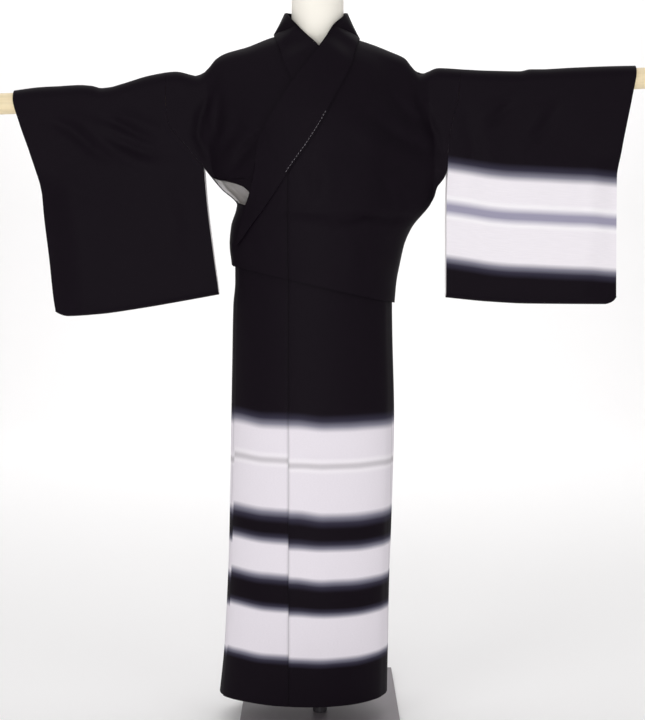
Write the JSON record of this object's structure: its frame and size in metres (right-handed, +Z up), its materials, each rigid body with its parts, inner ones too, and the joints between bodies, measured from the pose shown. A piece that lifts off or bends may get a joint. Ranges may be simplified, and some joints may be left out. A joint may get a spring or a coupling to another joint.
{
  "type": "kimono on dress form stand",
  "caption": "Long wrapped robe with wide hanging sleeves and soft bands, worn by a limbless dress form, with a pole through the sleeves, a column and a flat base plate.",
  "frame": {"origin": "on the floor under the middle of the base plate and of the pole", "axes": "+Z up, +X towards the wearer's left, -Y towards the front of the garment"},
  "size_m": [1.4006, 0.6, 1.5],
  "materials": {
    "black_silk": "matt silk crepe, aubergine black",
    "banded_silk": "the same silk with soft edged white and grey bands across the lower part",
    "lining": "plain white lining silk",
    "form_cover": "smooth cream jersey over a firm torso",
    "pale_wood": "smooth pale wood, clear matt finish",
    "grey_paint": "satin grey paint"
  },
  "bodies": {
    "root": {"body_right": "black_silk", "body_left": "black_silk", "okumi_left_upper": "black_silk", "sleeve_right": "black_silk", "sleeve_left": "banded_silk", "collar": "black_silk", "over_collar": "black_silk", "skirt_front_right": "banded_silk", "skirt_front_left": "banded_silk", "skirt_back_right": "banded_silk", "skirt_back_left": "banded_silk", "okumi_right": "banded_silk", "okumi_left": "banded_silk", "lining_right": "lining", "dress_form": "form_cover", "pole": "pale_wood", "column": "grey_paint", "base_plate": "grey_paint"}
  },
  "joints": []
}
